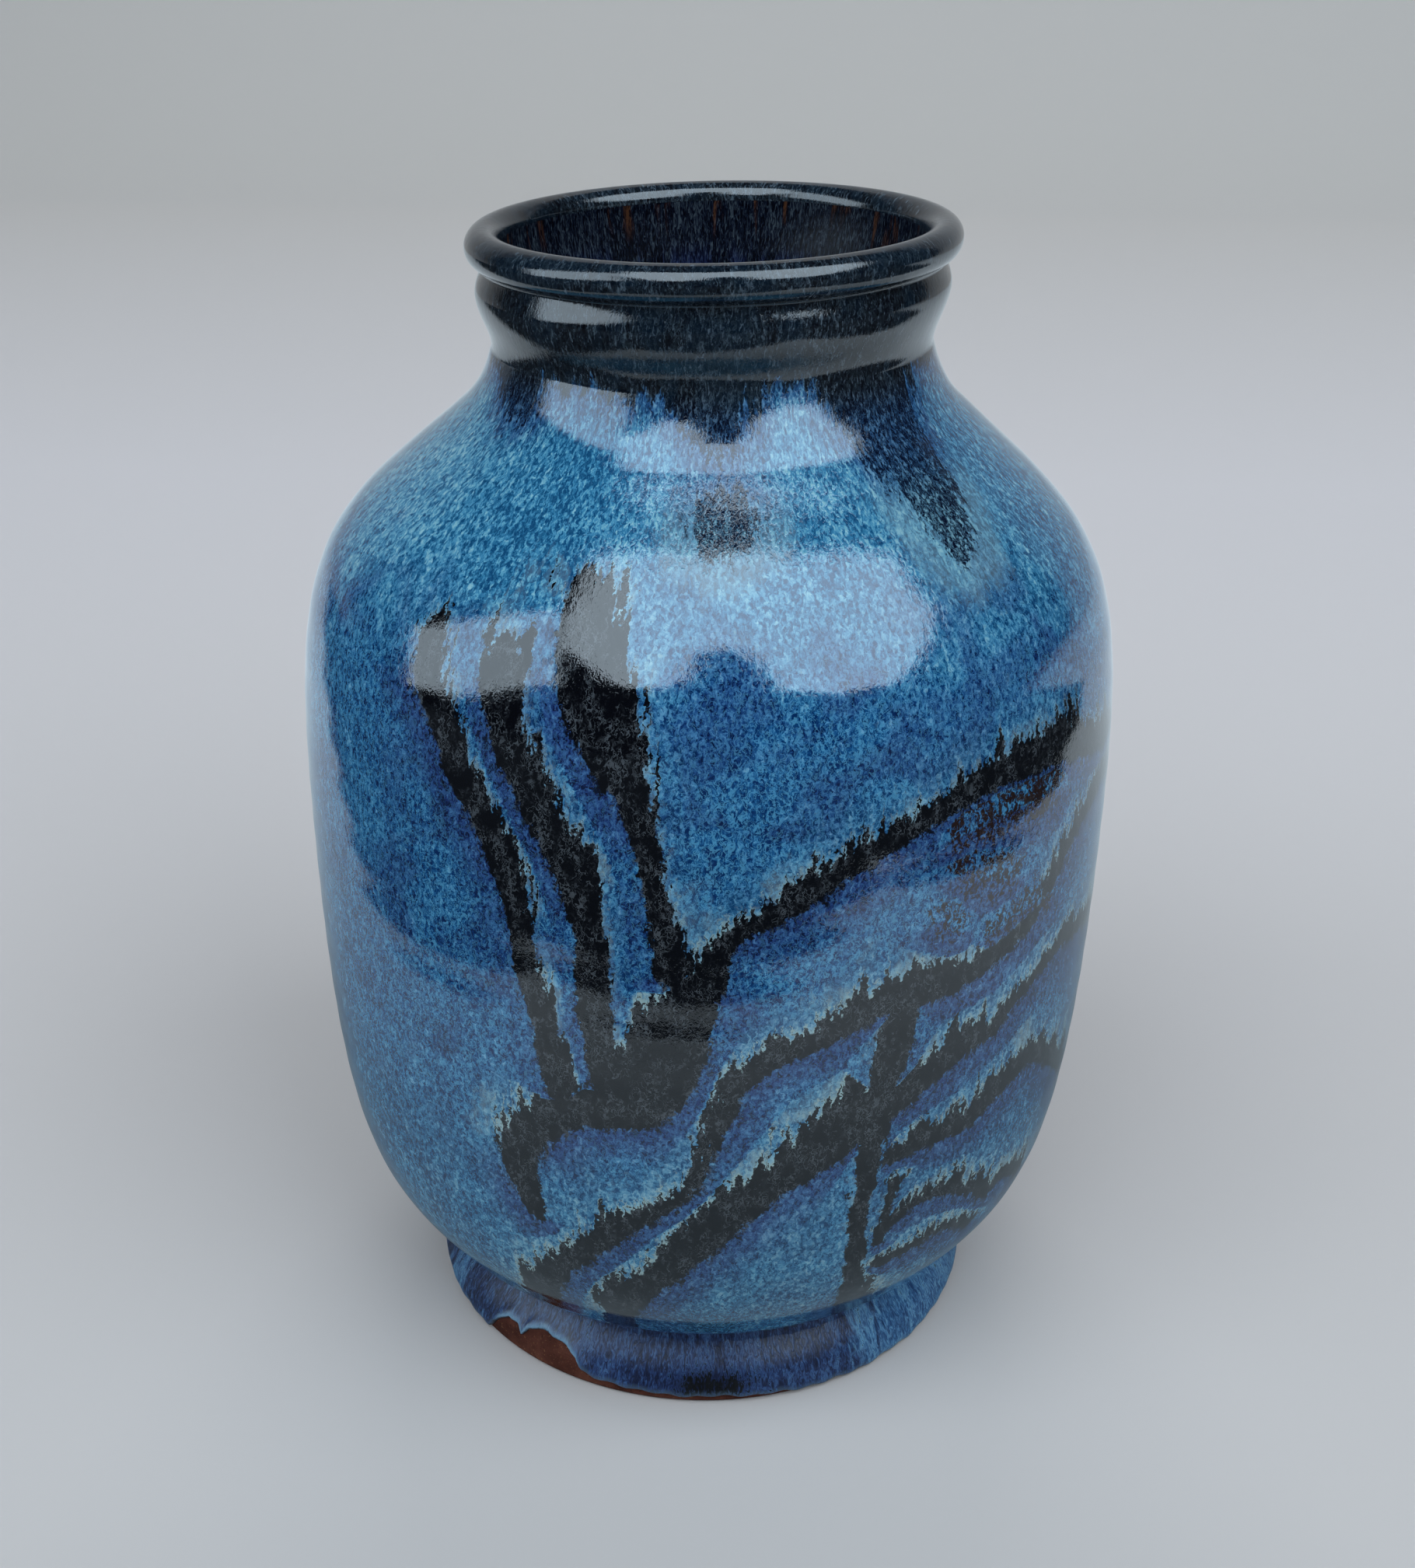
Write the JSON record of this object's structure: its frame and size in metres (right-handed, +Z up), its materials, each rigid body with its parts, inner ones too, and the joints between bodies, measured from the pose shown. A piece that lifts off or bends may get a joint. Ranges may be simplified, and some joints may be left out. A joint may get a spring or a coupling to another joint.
{
  "type": "stoneware vase",
  "caption": "Wheel-thrown stoneware vase with a turned foot ring, a full belly, a ridged collar and a rolled lip, for flowers or display.",
  "frame": {"origin": "centre of the foot's standing face, on the vase's axis", "axes": "+Z up along the vase's axis; -Y is the front, where the three upright brush strokes and the bare patch on the foot are"},
  "size_m": [0.194, 0.194, 0.275],
  "materials": {
    "bare_clay": "iron-brown fired stoneware, matt and slightly gritty",
    "blue_glaze": "glossy mottled blue glaze with black brushwork, pale turquoise flecks and purple pools",
    "black_glaze": "glossy blue-black glaze with fine vertical blue streaks",
    "liner_glaze": "glossy dark blue to purple-brown glaze"
  },
  "bodies": {
    "root": {"clay_foot": "bare_clay", "clay_floor": "bare_clay", "clay_belly": "bare_clay", "clay_shoulder": "bare_clay", "clay_collar": "bare_clay", "clay_lip": "bare_clay", "glaze_foot": "blue_glaze", "glaze_body": "blue_glaze", "glaze_collar": "black_glaze", "glaze_liner": "liner_glaze"}
  },
  "joints": []
}
